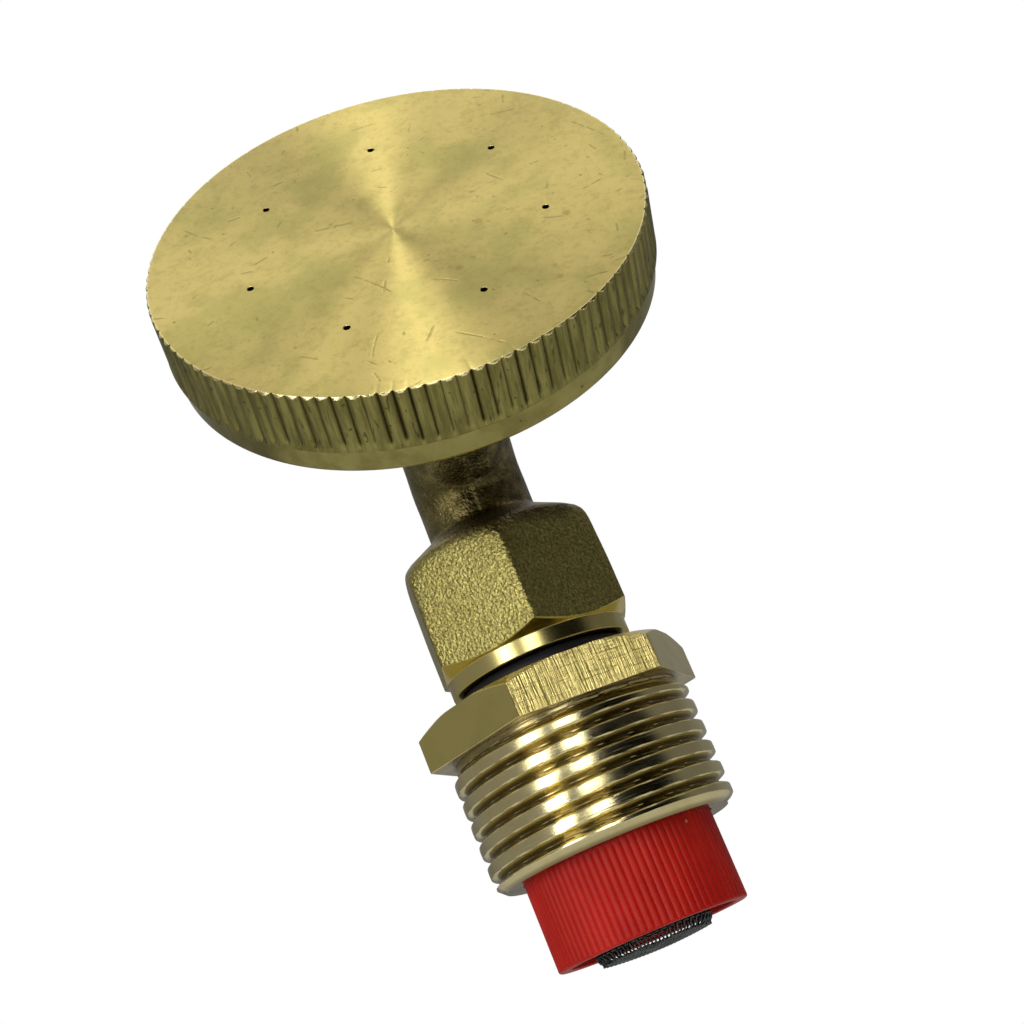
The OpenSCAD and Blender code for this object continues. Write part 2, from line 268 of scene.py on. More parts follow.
def cut_away(piece, cutter):
    """Takes the cutter's shape out of the piece for good."""
    tool = piece.modifiers.new("cut", "BOOLEAN")
    tool.operation, tool.solver, tool.object = "DIFFERENCE", "EXACT", cutter
    bpy.context.view_layer.update()
    seen = piece.evaluated_get(bpy.context.evaluated_depsgraph_get())
    mesh = bpy.data.meshes.new_from_object(seen)
    piece.modifiers.clear()
    piece.data = mesh
    bpy.data.objects.remove(cutter)


# ------------------------------------------------------------------ material tools
class Look:
    """A material under construction. Each method adds a node and returns its output."""

    def __init__(self, name, color, metallic, roughness, **shader):
        self.material = bpy.data.materials.new(name)
        self.material.use_nodes = True
        self.tree = self.material.node_tree
        self.shader = self.tree.nodes["Principled BSDF"]
        self.set(Base_Color=(*color, 1), Metallic=metallic, Roughness=roughness, **shader)
        self.place = self.add("ShaderNodeTexCoord").outputs["Object"]

    def set(self, **values):
        for key, value in values.items():
            self.feed(self.shader.inputs[key.replace("_", " ")], value)

    def feed(self, socket, value):
        if isinstance(value, bpy.types.NodeSocket):
            self.tree.links.new(value, socket)
        else:
            socket.default_value = value

    def add(self, kind, inputs=(), **settings):
        node = self.tree.nodes.new(kind)
        for key, value in settings.items():
            setattr(node, key, value)
        for key, value in dict(inputs).items():
            self.feed(node.inputs[key], value)
        return node

    def math(self, operation, a, b=0.0):
        return self.add("ShaderNodeMath", {0: a, 1: b}, operation=operation).outputs[0]

    def spread(self, size, turn=0.0):
        """The place in units of size, in mm, along axes turned about the piece's own axis."""
        size = (size, size, size) if isinstance(size, (int, float)) else size
        return self.add("ShaderNodeMapping", {"Vector": self.place, "Scale": [x * MM for x in size],
                                              "Rotation": (0, 0, turn)}, vector_type="TEXTURE").outputs[0]

    def noise(self, size, detail=3, rough=0.5, turn=0.0):
        """Noise with blobs of that size, in mm."""
        return self.add("ShaderNodeTexNoise", {"Vector": self.spread(size, turn), "Scale": 1,
                                               "Detail": detail, "Roughness": rough}).outputs["Fac"]

    def specks(self, size, small, large):
        """1 on scattered round specks, one in each cell of that size; small and large are shares of it."""
        cells = self.add("ShaderNodeTexVoronoi", {"Vector": self.spread(size), "Scale": 1})
        lot = self.add("ShaderNodeSeparateColor", {0: cells.outputs["Color"]}).outputs[0]
        reach = self.range(self.math("POWER", lot, 2.0), small, large)
        outside = self.between(self.math("DIVIDE", cells.outputs[0], reach), 0.7, 1.3)
        return self.math("SUBTRACT", 1.0, outside)

    def scratches(self, size, share):
        """1 on short straight scratches, at most one in each cell of that size, lying all ways."""
        bent = self.add("ShaderNodeTexNoise", {"Vector": self.spread(size * 0.8), "Scale": 1, "Detail": 1})
        sway = self.add("ShaderNodeVectorMath", {0: bent.outputs["Color"], 1: (0.12, 0.12, 0)},
                        operation="MULTIPLY").outputs[0]
        flat = self.add("ShaderNodeVectorMath", {0: self.spread(size), 1: (1, 1, 0)}, operation="MULTIPLY")
        spot = self.add("ShaderNodeVectorMath", {0: flat.outputs[0], 1: sway}).outputs[0]
        cells = self.add("ShaderNodeTexVoronoi", {"Vector": spot, "Scale": 1})
        lots = self.add("ShaderNodeSeparateColor", {0: cells.outputs["Color"]}).outputs
        away = self.add("ShaderNodeVectorMath", {0: spot, 1: cells.outputs["Position"]}, operation="SUBTRACT")
        turned = self.add("ShaderNodeVectorRotate", {"Vector": away.outputs[0], "Angle": self.math(
            "MULTIPLY", lots[0], 2 * math.pi)}, rotation_type="Z_AXIS").outputs[0]
        part = self.add("ShaderNodeSeparateXYZ", {0: turned}).outputs
        aside, along = self.math("ABSOLUTE", part[0]), self.math("ABSOLUTE", part[1])
        line = self.between(aside, 0.13 / size, 0.04 / size)
        reach = self.range(lots[1], 0.05, 0.42)
        ends = self.between(self.math("SUBTRACT", along, reach), 0.02, -0.06)
        chosen = self.math("LESS_THAN", lots[2], share)
        return self.math("MULTIPLY", self.math("MULTIPLY", line, ends), chosen)

    def between(self, value, low, high):
        """0 at low and 1 at high, clamped and smooth."""
        return self.add("ShaderNodeMapRange", {"Value": value, "From Min": low, "From Max": high},
                        interpolation_type="SMOOTHSTEP").outputs[0]

    def pick(self, factor, first, second):
        """A colour between two colours."""
        node = self.add("ShaderNodeMix", {"Factor": factor}, data_type="RGBA")
        for key, value in ((6, first), (7, second)):
            self.feed(node.inputs[key], (*value, 1) if isinstance(value, tuple) else value)
        return node.outputs[2]

    def range(self, factor, low, high):
        """A number between two numbers."""
        return self.add("ShaderNodeMapRange", {"Value": factor, "To Min": low, "To Max": high}).outputs[0]

    def radius(self):
        """Distance from the piece's own axis, in mm."""
        flat = self.add("ShaderNodeVectorMath", {0: self.place, 1: (1000, 1000, 0)}, operation="MULTIPLY")
        return self.add("ShaderNodeVectorMath", {0: flat.outputs[0]}, operation="LENGTH").outputs["Value"]

    def height(self):
        """Height along the piece's own axis, in mm."""
        part = self.add("ShaderNodeSeparateXYZ", {0: self.place})
        return self.math("MULTIPLY", part.outputs["Z"], 1000.0)

    def bump(self, height, depth, normal=None):
        """Relief of that depth, in mm."""
        node = self.add("ShaderNodeBump", {"Height": height, "Distance": depth * MM, "Strength": 1.0})
        if normal:
            self.feed(node.inputs["Normal"], normal)
        return node.outputs[0]

    def radial(self):
        return self.add("ShaderNodeTangent", direction_type="RADIAL", axis="Z").outputs[0]


# ------------------------------------------------------------------ materials
def turned_face():
    """Fine turned brass: rough across its rings and smooth along them, with stains, pits and scratches, and
    painted shade down the vent holes.
    """
    look = Look("turned_face_brass", (0.70, 0.56, 0.2), 1.0, 0.33,
                Anisotropic=0.93, Anisotropic_Rotation=0.25)
    stain = look.between(look.noise(8.5, 4, 0.6), 0.45, 0.62)
    cloud = look.between(look.noise(2.2, 4, 0.65), 0.45, 0.72)
    color = look.pick(stain, (0.70, 0.565, 0.19), (0.57, 0.49, 0.153))
    color = look.pick(look.math("MULTIPLY", cloud, 0.30), color, (0.47, 0.38, 0.12))
    grain = look.between(look.noise(0.55, 4, 0.75), 0.45, 0.7)
    color = look.pick(look.math("MULTIPLY", grain, 0.28), color, (0.38, 0.28, 0.08))
    pits = look.specks(1.5, 0.01, 0.10)
    color = look.pick(look.math("MULTIPLY", pits, 0.5), color, (0.22, 0.16, 0.05))
    color = look.pick(look.math("MULTIPLY", look.specks(3.1, 0.02, 0.12), 0.5), color, (0.42, 0.27, 0.09))
    marks = look.math("MAXIMUM", look.scratches(5.3, 0.4), look.scratches(2.7, 0.18))
    marks = look.math("MAXIMUM", marks, look.scratches(1.5, 0.06))
    marks = look.math("MULTIPLY", marks, look.between(look.noise(0.9, 3), 0.36, 0.52))
    color = look.pick(look.math("MULTIPLY", marks, 0.55), color, (0.30, 0.25, 0.075))
    # Painted shade: the walls of the vent holes, below the face, are near black.
    down = look.between(look.height(), FACE_S - 0.025, FACE_S - 0.04)
    hole = look.math("MULTIPLY", down, look.between(look.radius(), CAP_R - 2, CAP_R - 3))
    color = look.pick(hole, color, (0.012, 0.009, 0.004))
    edge = look.between(look.radius(), CAP_R - 0.3, CAP_R - 0.16)
    color = look.pick(edge, color, (0.88, 0.76, 0.36))
    rings = look.add("ShaderNodeTexWave", {"Vector": look.place, "Scale": 1500, "Distortion": 0.4,
                                           "Detail": 2, "Detail Scale": 2}, wave_type="RINGS",
                     rings_direction="Z").outputs["Fac"]
    relief = look.bump(rings, 0.0012)
    relief = look.bump(look.noise(1.1, 3), 0.003, relief)
    relief = look.bump(look.math("ADD", pits, marks), -0.01, relief)
    look.set(Base_Color=color, Normal=relief, Tangent=look.radial(),
             Roughness=look.math("SUBTRACT", look.range(look.noise(3.8, 3), 0.29, 0.4),
                                 look.math("MULTIPLY", edge, 0.12)))
    return look.material


def knurled_brass():
    """Tarnished brass with scattered pits, darker down in the grooves with tarnish and painted shade."""
    look = Look("knurled_brass", (0.34, 0.30, 0.11), 1.0, 0.42)
    streak = look.noise((0.45, 0.45, 4), 3, 0.65)
    # Darker down in the grooves: partly tarnish, partly painted shade.
    crest = look.between(look.radius(), CAP_R - TOOTH_DEPTH, CAP_R - 0.08)
    metal = look.pick(look.between(streak, 0.3, 0.7), (0.185, 0.165, 0.049), (0.355, 0.318, 0.103))
    color = look.pick(crest, (0.12, 0.105, 0.032), metal)
    dirt = look.math("MAXIMUM", look.specks(0.9, 0.02, 0.16),
                     look.between(look.noise((0.3, 0.3, 1.2), 3), 0.62, 0.7))
    color = look.pick(look.math("MULTIPLY", dirt, 0.6), color, (0.05, 0.042, 0.014))
    relief = look.bump(look.noise((0.3, 0.3, 1.3), 4, 0.6), 0.05)
    look.set(Base_Color=color, Normal=relief, Roughness=look.range(streak, 0.34, 0.5))
    return look.material


def lathed_brass(name, color, dark, rough):
    """Machined brass with fine lathe lines round the piece's own axis."""
    look = Look(name, color, 1.0, rough)
    blot = look.between(look.noise(3.3, 4, 0.6), 0.42, 0.72)
    shade = look.pick(look.math("MULTIPLY", blot, 0.6), color, dark)
    look.set(Base_Color=shade, Normal=look.bump(look.noise((8, 8, 0.3), 3, 0.6), 0.006),
             Roughness=look.range(blot, rough, rough + 0.1))
    return look.material


def forged_brass():
    """Sand-blasted forging: turned brass where machined is 1, and dull brown where the mask of painted shade
    and some tarnish is 1.
    """
    look = Look("forged_brass", (0.50, 0.45, 0.18), 1.0, 0.4)
    machined = look.add("ShaderNodeAttribute", attribute_name="machined").outputs["Fac"]
    shade_and_tarnish = look.add("ShaderNodeAttribute", attribute_name="shade_and_tarnish").outputs["Fac"]
    blast = look.noise(0.2, 3, 0.7)
    tone = look.between(look.noise(4.2, 3, 0.6), 0.35, 0.7)
    sand = look.pick(tone, (0.45, 0.395, 0.13), (0.38, 0.33, 0.104))
    sand = look.pick(look.between(blast, 0.61, 0.39), sand, (0.235, 0.197, 0.06))
    metal = look.pick(look.between(look.noise(2.4, 3), 0.4, 0.75), (0.66, 0.56, 0.215), (0.50, 0.42, 0.145))
    band = look.pick(look.between(look.noise(2.8, 4, 0.65), 0.38, 0.68),
                     (0.41, 0.365, 0.12), (0.29, 0.25, 0.075))
    band = look.pick(look.specks(1.6, 0.01, 0.13), band, (0.08, 0.065, 0.02))
    metal = look.pick(look.between(look.height(), 10, 14), metal, band)
    color = look.pick(machined, sand, metal)
    # Dull brown painted shade, with some tarnish, under the vent head.
    dull = look.pick(look.between(look.noise(1.6, 4, 0.6), 0.4, 0.7),
                     (0.075, 0.059, 0.023), (0.25, 0.195, 0.078))
    color = look.pick(shade_and_tarnish, color, dull)
    relief = look.add("ShaderNodeMix", {"Factor": machined}, data_type="VECTOR")
    look.feed(relief.inputs[4], look.bump(look.noise(0.27, 2), 0.12))
    look.feed(relief.inputs[5], look.bump(look.noise((6, 6, 0.19), 3, 0.6), 0.004))
    look.set(Base_Color=color, Normal=relief.outputs[1], Roughness=look.range(machined, 0.36, 0.22))
    return look.material


def adapter_brass():
    """Bright machined brass: lathe lines, painted shade in the thread's roots and chatter marks where milled
    is 1.
    """
    look = Look("adapter_brass", (0.74, 0.62, 0.28), 1.0, 0.2)
    blot = look.between(look.noise(3.0, 4, 0.6), 0.4, 0.72)
    color = look.pick(look.math("MULTIPLY", blot, 0.5), (0.76, 0.66, 0.35), (0.58, 0.48, 0.21))
    # Painted shade down in the thread's roots.
    root_shade = look.between(look.radius(), ROOT_R + 0.5, ROOT_R + 0.1)
    color = look.pick(look.math("MULTIPLY", root_shade, 0.7), color, (0.15, 0.11, 0.04))
    olive = look.pick(look.math("MULTIPLY", blot, 0.5), (0.68, 0.575, 0.20), (0.54, 0.45, 0.15))
    color = look.pick(look.between(look.height(), 0.0, 0.05), color, olive)
    milled = look.add("ShaderNodeAttribute", attribute_name="milled").outputs["Fac"]
    chatter = look.noise((0.2, 0.2, 4.5), 3, 0.65)
    across = look.noise((2.4, 2.4, 0.22), 2, 0.6)
    torn = look.math("MAXIMUM", look.between(chatter, 0.56, 0.66), look.between(across, 0.62, 0.7))
    cut = look.pick(look.math("MULTIPLY", torn, 0.7), (0.95, 0.78, 0.28), (0.30, 0.215, 0.06))
    cut = look.pick(look.between(look.noise((1.1, 1.1, 7), 3), 0.52, 0.66), cut, (0.52, 0.41, 0.13))
    color = look.pick(milled, color, cut)
    lines = look.bump(look.noise((7, 7, 0.13), 3, 0.6), 0.018)
    deep = look.math("MULTIPLY", look.math("ADD", chatter, look.math("MULTIPLY", across, 0.6)), milled)
    rough = look.math("ADD", look.range(blot, 0.15, 0.24), look.math("MULTIPLY", milled, 0.15))
    look.set(Base_Color=color, Normal=look.bump(deep, 0.2, lines), Roughness=rough)
    return look.material


def red_plastic():
    look = Look("red_plastic", (0.55, 0.012, 0.008), 0.0, 0.4, Specular_IOR_Level=0.2,
                Subsurface_Weight=0.05, Subsurface_Radius=(0.002, 0.0005, 0.0004), Subsurface_Scale=0.6)
    cloud = look.noise((4.3, 4.3, 8), 3, 0.6)
    color = look.pick(look.between(cloud, 0.35, 0.68), (0.40, 0.0065, 0.0022), (0.50, 0.013, 0.005))
    color = look.pick(look.math("MULTIPLY", look.specks(2.6, 0.003, 0.05), 0.7), color, (0.75, 0.42, 0.36))
    look.set(Base_Color=color, Normal=look.bump(look.noise((0.4, 0.4, 0.8), 3), 0.012),
             Roughness=look.range(look.noise(1.4, 3), 0.32, 0.5))
    return look.material


def moulded(name, light, dark, rough, shine):
    """Moulded plastic or rubber with a slight mottle."""
    look = Look(name, light, 0.0, rough, Specular_IOR_Level=shine)
    mottle = look.noise(2, 3, 0.6)
    look.set(Base_Color=look.pick(mottle, light, dark),
             Roughness=look.range(mottle, rough - 0.08, rough + 0.1),
             Normal=look.bump(look.noise(0.45, 3), 0.01))
    return look.material


def wire_metal(name, light, dark, rough):
    """Drawn wire, with fine lines and darker patches."""
    look = Look(name, light, 1.0, rough)
    patch = look.between(look.noise(1.25, 3, 0.6), 0.35, 0.7)
    look.set(Base_Color=look.pick(patch, light, dark),
             Roughness=look.range(patch, rough - 0.07, rough + 0.12),
             Normal=look.bump(look.noise(0.2, 2), 0.004))
    return look.material


def pressed_fibre():
    look = Look("pressed_fibre", (0.66, 0.55, 0.36), 0.0, 0.85)
    weave = look.math("MAXIMUM", look.noise((0.33, 2, 0.33), 4, 0.7),
                      look.noise((2, 0.33, 0.33), 4, 0.7, 0.6))
    look.set(Base_Color=look.pick(look.between(weave, 0.4, 0.75), (0.55, 0.44, 0.27), (0.74, 0.65, 0.47)),
             Normal=look.bump(weave, 0.05))
    return look.material


FACE = turned_face()
KNURL = knurled_brass()
CAP_INSIDE = lathed_brass("cap_inside_brass", (0.70, 0.59, 0.25), (0.5, 0.41, 0.16), 0.26)
VALVE_BRASS = lathed_brass("valve_brass", (0.72, 0.61, 0.27), (0.55, 0.46, 0.19), 0.22)
FORGED = forged_brass()
ADAPTER = adapter_brass()
RED = red_plastic()
IVORY = moulded("ivory_plastic", (0.80, 0.78, 0.70), (0.70, 0.67, 0.58), 0.42, 0.5)
RUBBER = moulded("black_rubber", (0.008, 0.008, 0.010), (0.018, 0.018, 0.02), 0.5, 0.22)
SPRING_STEEL = wire_metal("spring_steel", (0.60, 0.60, 0.58), (0.42, 0.41, 0.39), 0.28)
MESH_STEEL = wire_metal("mesh_steel", (0.10, 0.112, 0.107), (0.045, 0.054, 0.05), 0.34)
FIBRE = pressed_fibre()


def finish_piece(piece, body, node, slot, *materials):
    """The piece rides on its body in place of the CAD node, with its materials. Its slot argument is not
    used.
    """
    for material in materials:
        piece.data.materials.append(material)
    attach(piece, body)
    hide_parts(node)
    return piece


# ------------------------------------------------------------------ vent cap
def tooth_limit(angles, heights, rng):
    """Radius that the knurl leaves at each height and angle; the grooves run out above the skirt's edge."""
    position = angles / (2 * math.pi) * TEETH
    groove = np.floor(position + 0.5).astype(int) % TEETH
    crest = np.floor(position).astype(int) % TEETH
    depth = TOOTH_DEPTH * rng.uniform(0.6, 1.1, TEETH)[groove]
    start = (SKIRT_S + rng.uniform(0.05, 0.4, TEETH))[groove]
    dip = depth * (1 - np.abs(np.sin(math.pi * position)) ** 0.8)
    worn = np.abs(rng.normal(0, 0.03, TEETH))[crest] * np.sin(math.pi * position) ** 2
    return CAP_R - (dip + worn) * ramp_up(heights, start, start + 0.5)


def hole_cutter():
    """A drill for each vent hole, with a slight countersink at the cap's face."""
    drill = outline([(0.05, LID_S - 1, 0), (HOLE_R, LID_S - 1, 0), (HOLE_R, FACE_S - 0.03, 0),
                     (SINK_R, FACE_S, 0), (SINK_R, FACE_S + 0.3, 0), (0.05, FACE_S + 0.3, 0)],
                    lambda at: 3, closed=False)
    angles = even_angles(20)
    points, faces = [], []
    for k in range(HOLES):
        turn = HOLE_TURN + k * 2 * math.pi / HOLES
        centre = np.array((math.cos(turn), math.sin(turn), 0)) * HOLE_CIRCLE_R
        r, z = drill[:, :1], drill[:, 1:]
        rows = np.stack((r * np.cos(angles), r * np.sin(angles), z + 0 * angles), -1) + centre
        faces += ring_faces(len(drill), len(angles), False, k * rows.shape[0] * rows.shape[1])
        points.append(rows.reshape(-1, 3))
    return place_mesh("drills", np.concatenate(points), faces, HEAD, 30)


def make_cap():
    rng = np.random.default_rng(7)
    bore_r = UPSTAND_R + 0.05
    corners = [(0.5, LID_S - 0.15, 0), (3, LID_S - 0.15, 0.05), (3, LID_S, 0.05), (bore_r, LID_S, 0.15),
               (bore_r, SKIRT_S, 0.2), (CAP_R, SKIRT_S, 0.12), (CAP_R, FACE_S - 0.18, 0.04),
               (CAP_R - CHAMFER, FACE_S, 0.03), (0.5, FACE_S, 0)]
    points = outline(corners, lambda at: 1.6 if at[0] < CAP_R - 1 else 0.2, closed=False)

    def shape(r, z, a):
        return np.where(r > CAP_R - 1, np.minimum(r, tooth_limit(a + 0 * z, z + 0 * a, rng)), r)

    even = even_angles(TEETH * 8)
    crowded = even - 0.6 / TEETH * np.sin(TEETH * even)
    cap = spin("vent_cap", points, crowded, shape, loop=False, matrix=HEAD, crease=28)
    cut_away(cap, hole_cutter())
    finish_piece(cap, "cap", "vent_cap", "turned_brass", FACE, KNURL, CAP_INSIDE)
    for face in cap.data.polygons:
        r, s = math.hypot(face.center.x, face.center.y) / MM, face.center.z / MM
        on_face = s > FACE_S - 1 and (r < CAP_R - 0.4 or face.normal.z > 0.4)
        face.material_index = 0 if on_face else 1 if r > UPSTAND_R + 0.5 else 2


# ------------------------------------------------------------------ elbow body
def on_path(s):
    """Distance along the body's bent centre line for a distance along the head axis."""
    return s - BEND_T + BEND_START + BEND_R * LEAN


def bent_rows(r, t, angles):
    """Points at radius r round the body's centre line, at distance t along it."""
    phi = np.clip((t - BEND_START) / BEND_R, 0, LEAN)
    beyond = np.clip(t - on_path(BEND_T), 0, None)
    y = -BEND_R + BEND_R * np.cos(phi) - beyond * math.sin(LEAN)
    z = np.minimum(t, BEND_START) + BEND_R * np.sin(phi) + beyond * math.cos(LEAN)
    across = r * np.sin(angles)
    return np.stack((r * np.cos(angles), y + across * np.cos(phi), z + across * np.sin(phi)), -1)


def make_elbow():
    clip_top, clip_t, clip_r = -2.55, 0.6, 4.6
    ring_z, ring_h, ring_r = 1.0, 0.7, 4.2
    orifice_r = 3.5
    rim_z = BEVEL_Z + (RIM_R - COLLAR_R) * math.tan(BEVEL)
    brow_z = FOOT_Z - (RIM_R - NECK_R) * math.tan(SHOULDER_SLOPE)
    corners = [
        (BORE_R, SPIGOT_END, 0.2), (SWIVEL_R, SPIGOT_END, 0.35),
        (SWIVEL_R, clip_top - clip_t, 0), (clip_r, clip_top - clip_t, 0), (clip_r, clip_top, 0),
        (SWIVEL_R, clip_top, 0),
        (SWIVEL_R, ring_z - ring_h, 0), (ring_r, ring_z - ring_h, 0.1), (ring_r, ring_z + ring_h, 0.1),
        (SWIVEL_R, ring_z + ring_h, 0),
        (SWIVEL_R, COLLAR_Z, 0.1), (COLLAR_R, COLLAR_Z, 0.12), (COLLAR_R, BEVEL_Z, 0.1), (RIM_R, rim_z, 0.1),
        (RIM_R, brow_z, SHOULDER_ROUND), (NECK_R, FOOT_Z, 0.7), (NECK_R, on_path(BAND_S), 1.5),
        (BAND_R, on_path(BAND_S), 0.4), (BAND_R, on_path(SKIRT_S - 0.05), 0.1),
        (UPSTAND_R, on_path(SKIRT_S - 0.05), 0.1), (UPSTAND_R, on_path(LID_S - 0.9), 0.25),
        (CHAMBER_R, on_path(LID_S - 0.9), 0.15), (CHAMBER_R, on_path(FLOOR_S), 0.5),
        (orifice_r, on_path(FLOOR_S), 0.1), (orifice_r, on_path(BAND_S + 0.15), 0.1),
        (BORE_R, on_path(BAND_S + 0.15), 0)]

    def step(at):
        outside_hex = COLLAR_Z - 0.2 < at[1] < FOOT_Z + 0.5 and at[0] > NECK_R - 0.1
        fine = outside_hex or abs(at[0] - UPSTAND_R) < 0.01
        return 0.1 if fine else 0.35 if at[0] < UPSTAND_R - 2 else 0.6

    points = outline(corners, step)
    r, t, a = points[:, :1], points[:, 1:], hex_angles(300, HEX_TURN)[None, :]
    blend = 0.02 + 0.26 * ramp_up(t, rim_z + 2, brow_z - 1)
    in_hex = (t > COLLAR_Z + 0.1) & (t < FOOT_Z + 0.6)
    reach = np.where(in_hex, hex_reach(a, HEX_AF, HEX_TURN, 90), 99)
    radius = smaller(r + 0 * a, reach, blend)
    outer = r > BORE_R + 0.3
    seam = np.minimum(*(np.abs(np.angle(np.exp(1j * (a - turn)))) for turn in (HEX_TURN, -HEX_TURN)))
    neck_end = -on_path(BAND_S)
    on_neck = ramp_up(t, FOOT_Z - 0.6, FOOT_Z + 0.6) * ramp_up(-t, neck_end - 0.5, neck_end + 1.5)
    ridge = 0.13 * np.exp(-(seam * NECK_R / 0.2) ** 2) * on_neck
    uneven = 0.035 * np.sin(3 * a + 0.7 * t) * np.sin(0.9 * t + 1.3) * ramp_up(t, rim_z + 1, rim_z + 4)
    rough = (t < on_path(BAND_S - 0.3)) & outer
    radius = radius + np.where(rough, ridge + uneven * on_neck, 0)
    low, high = on_path(SKIRT_S - 0.05) + 0.3, on_path(LID_S - 0.9) - 0.25
    groove = 0.5 - 0.5 * np.cos(2 * math.pi * (t - low) / CAP_PITCH - a)
    threaded = (np.abs(r - UPSTAND_R) < 0.01) * ramp_up(t, low, low + 0.4) * ramp_up(-t, -high, -high + 0.4)
    radius = radius - CAP_THREAD_DEPTH * groove * threaded
    body = skin("elbow_body", bent_rows(radius, t, a), crease=32)
    turned = (t < rim_z + 3) & (r - radius < 0.03) | (t > on_path(BAND_S) - 0.02) & (r > NECK_R + 2) | ~outer
    # Painted shade with some tarnish on the neck and shoulders under the vent head, darker on the side away
    # from the lamps.
    shaded = 0.5 + 0.5 * np.cos(a + 0.9)
    at_rim = ramp_up(r, BAND_R - 3, BAND_R - 0.5)
    brown = ramp_up(t + 1.8 * shaded, FOOT_Z - 2.2, FOOT_Z - 0.2) * (1 - 0.85 * at_rim)
    # Less painted shade at one spot on the inner bend, where the key lamp's highlight falls.
    shade_gap = np.exp(-((a + 2) / 0.35) ** 2 - ((t - FOOT_Z - 2.2) / 1.4) ** 2)
    brown = brown * (0.5 + 0.5 * shaded) * (1 - 0.8 * shade_gap)
    for name, value in (("machined", turned), ("shade_and_tarnish", brown)):
        mark = body.data.attributes.new(name, "FLOAT", "POINT")
        mark.data.foreach_set("value", (value + 0 * radius).astype(np.float32).ravel())
    finish_piece(body, "head", "elbow_body", "forged_brass", FORGED)


# ------------------------------------------------------------------ adapter
def thread_radius(z, a):
    """Radius of the right-handed pipe thread, with its run-out under the flange and its chamfered end."""
    turn = np.mod(z / PITCH - a / (2 * math.pi), 1)
    rise = 1 - np.abs(2 * turn - 1)
    flank = 0.94 * ramp_up(rise, 0, 0.56) + 0.06 * rise
    run_out = ROOT_R + 0.1 + np.clip(-z - 0.55, 0, None) * 1.2
    chamfer = THREAD_R - 0.75 + (z + THREAD_L) * 1.1
    return smaller(smaller(ROOT_R + (THREAD_R - ROOT_R) * flank, run_out, 0.03), chamfer, 0.03)


def make_adapter():
    bore_r, throat_r, throat_top, throat_end = 8.2, 7.3, -2, -6.5
    corners = [(bore_r, -THREAD_L, 0.15), (THREAD_R, -THREAD_L, 0), (THREAD_R, -0.02, 0),
               (ROOT_R + 0.1, 0, 0),
               (FLANGE_REACH, 0, 0.1), (FLANGE_REACH, FLANGE_H, 0), (SWIVEL_R + 0.05, FLANGE_H, 0.2),
               (SWIVEL_R + 0.05, throat_top, 0), (throat_r, throat_top, 0.2), (throat_r, throat_end, 0.1),
               (bore_r, throat_end, 0.1)]
    points = outline(corners, lambda at: 0.08 if at[0] > THREAD_R - 0.01 else 0.6)

    def shape(r, z, a):
        cone = FLANGE_BEVEL_R + (FLANGE_H - z) / math.tan(BEVEL)
        edge = smaller(hex_reach(a, FLANGE_AF, FLANGE_TURN, 260) + 0 * z, cone + 0 * a, 0.02)
        spread = (edge - ROOT_R) / (FLANGE_REACH - ROOT_R)
        flange = np.where(r > ROOT_R, ROOT_R + (r - ROOT_R) * spread, r)
        thread = np.where(r > ROOT_R - 0.2, np.minimum(r, thread_radius(z, a)), r)
        return np.where(z > -0.01, flange, thread)

    adapter = spin("male_adapter", points, hex_angles(420, FLANGE_TURN), shape, crease=30)
    first, last = FLANGE_TURN - math.radians(120), FLANGE_TURN - math.radians(60)
    milled = []
    for vertex in adapter.data.vertices:
        x, y, z = vertex.co / MM
        on_flat = z > 0.02 and math.hypot(x, y) > THREAD_R - 0.1 and first < math.atan2(y, x) < last
        milled.append(float(on_flat))
    mark = adapter.data.attributes.new("milled", "FLOAT", "POINT")
    mark.data.foreach_set("value", milled)
    finish_piece(adapter, "inlet", "male_adapter", "bright_brass", ADAPTER)


def make_swivel_ring():
    gap = COLLAR_Z - FLANGE_H
    half = gap / 2 - 0.02
    middle = (SWIVEL_R + COLLAR_R) / 2
    turns = even_angles(24)
    points = np.stack((middle + half * np.cos(turns), FLANGE_H + gap / 2 + half * np.sin(turns)), -1)
    ring = spin("swivel_oring", points, even_angles(180), crease=60)
    finish_piece(ring, "inlet", "swivel_oring", "black_rubber", RUBBER)


# ------------------------------------------------------------------ check valve
def make_cage():
    guide_z, seat_z, groove_z, groove_h = -7.4, RECESS_Z + 1.4, -5.6, 0.6
    shank_r, shank_z, groove_r = 7.2, -6.6, 7.2 - 0.9
    cup_r, guide_r, port_r = 5.6, 5.2, 2.6
    corners = [(RECESS_R, CAGE_END, 0.15), (CAGE_R, CAGE_END, 0.22), (CAGE_R, shank_z, 0.3),
               (shank_r, shank_z, 0.15),
               (shank_r, groove_z - groove_h, 0), (groove_r, groove_z - groove_h, 0),
               (groove_r, groove_z + groove_h, 0), (shank_r, groove_z + groove_h, 0),
               (shank_r, CAGE_TOP, 0.4), (cup_r, CAGE_TOP, 0.2), (cup_r, guide_z, 0), (guide_r, guide_z, 0.1),
               (guide_r, seat_z, 0.3), (port_r, seat_z, 0.2), (port_r, RECESS_Z, 0.2),
               (RECESS_R, RECESS_Z, 0.3)]
    points = outline(corners, lambda at: 0.3)

    def shape(r, z, a):
        valley = (1 - np.abs(np.sin(a * RIBS / 2)) ** 0.7) * 0.11
        low, high = ramp_up(z, CAGE_END - 0.1, CAGE_END + 0.35), ramp_up(-z, THREAD_L - 0.3, THREAD_L + 0.3)
        return r - np.where(r > RECESS_R + 0.6, valley * low * high, 0)

    cage = spin("check_cage", points, even_angles(RIBS * 10), shape, crease=50)
    finish_piece(cage, "inlet", "check_cage", "red_plastic", RED)


